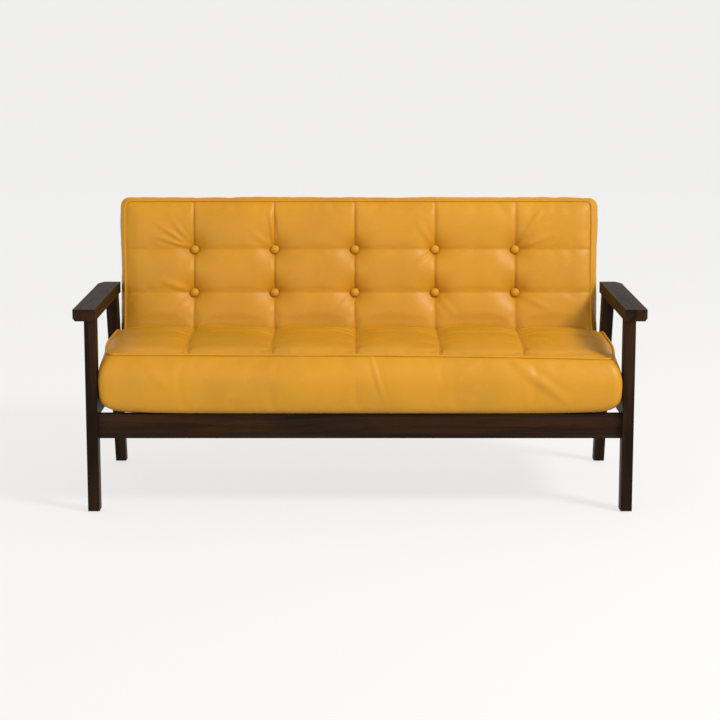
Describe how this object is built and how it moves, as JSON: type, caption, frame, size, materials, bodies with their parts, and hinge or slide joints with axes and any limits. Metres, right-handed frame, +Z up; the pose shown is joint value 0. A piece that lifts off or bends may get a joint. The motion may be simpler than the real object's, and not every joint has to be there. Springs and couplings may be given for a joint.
{
  "type": "sofa with wooden legs",
  "caption": "Upholstered sofa on a dark wooden frame with raked rear legs, board armrests, a loose box seat cushion and a buttoned back.",
  "frame": {"origin": "on the floor under the middle of the sofa's footprint", "axes": "+X along the seat to the right as seen from the front, +Y from the front to the back, +Z up"},
  "size_m": [1.666, 0.7224, 0.8697],
  "materials": {
    "dark_wood": "satin espresso stain over visible grain",
    "plain_wood": "planed, unvarnished",
    "plywood": "sanded plywood",
    "foam": "open-cell foam",
    "leather": "smooth satin faux leather, mustard",
    "leather_piping": "satin faux leather over cord",
    "zip": "woven tape and moulded teeth",
    "twine": "waxed twine",
    "black_plastic": "moulded",
    "steel": "zinc plated"
  },
  "bodies": {
    "frame": {"front_leg_left": "dark_wood", "front_leg_right": "dark_wood", "rear_leg_left": "dark_wood", "rear_leg_right": "dark_wood", "armrest_left": "dark_wood", "armrest_right": "dark_wood", "side_rail_left": "dark_wood", "side_rail_right": "dark_wood", "front_rail": "dark_wood", "rear_rail": "dark_wood", "centre_stretcher": "plain_wood", "front_cleats": "plain_wood", "rear_cleats": "plain_wood", "seat_slat_1": "plain_wood", "seat_slat_2": "plain_wood", "seat_slat_3": "plain_wood", "seat_slat_4": "plain_wood", "seat_slat_5": "plain_wood", "seat_slat_6": "plain_wood", "seat_slat_7": "plain_wood", "rail_bolts": "steel", "barrel_nuts": "steel", "dowels": "plain_wood", "slat_screws": "steel", "cleat_screws": "steel", "foot_glides": "black_plastic", "back_stile_left": "plain_wood", "back_stile_right": "plain_wood", "back_top_rail": "plain_wood", "back_bottom_rail": "plain_wood", "back_strut_1": "plain_wood", "back_strut_2": "plain_wood", "back_strut_3": "plain_wood", "back_strut_4": "plain_wood", "back_board": "plywood", "back_foam": "foam", "back_cover": "leather", "back_rear_cover": "leather", "back_piping": "leather_piping", "tufting_buttons": "leather", "tufting_twine": "twine", "tufting_anchors": "black_plastic", "back_bolts": "steel", "back_inserts": "steel", "back_spacers": "black_plastic", "back_base_bolts": "steel"},
    "seat_cushion": {"seat_foam": "foam", "seat_cover": "leather", "seat_piping": "leather_piping", "seat_zip": "zip"}
  },
  "joints": [
    {"name": "seat_cushion_lift", "type": "slide", "parent": "frame", "child": "seat_cushion", "axis": [0, 0, 1], "range_m": [0, 0.35]}
  ]
}
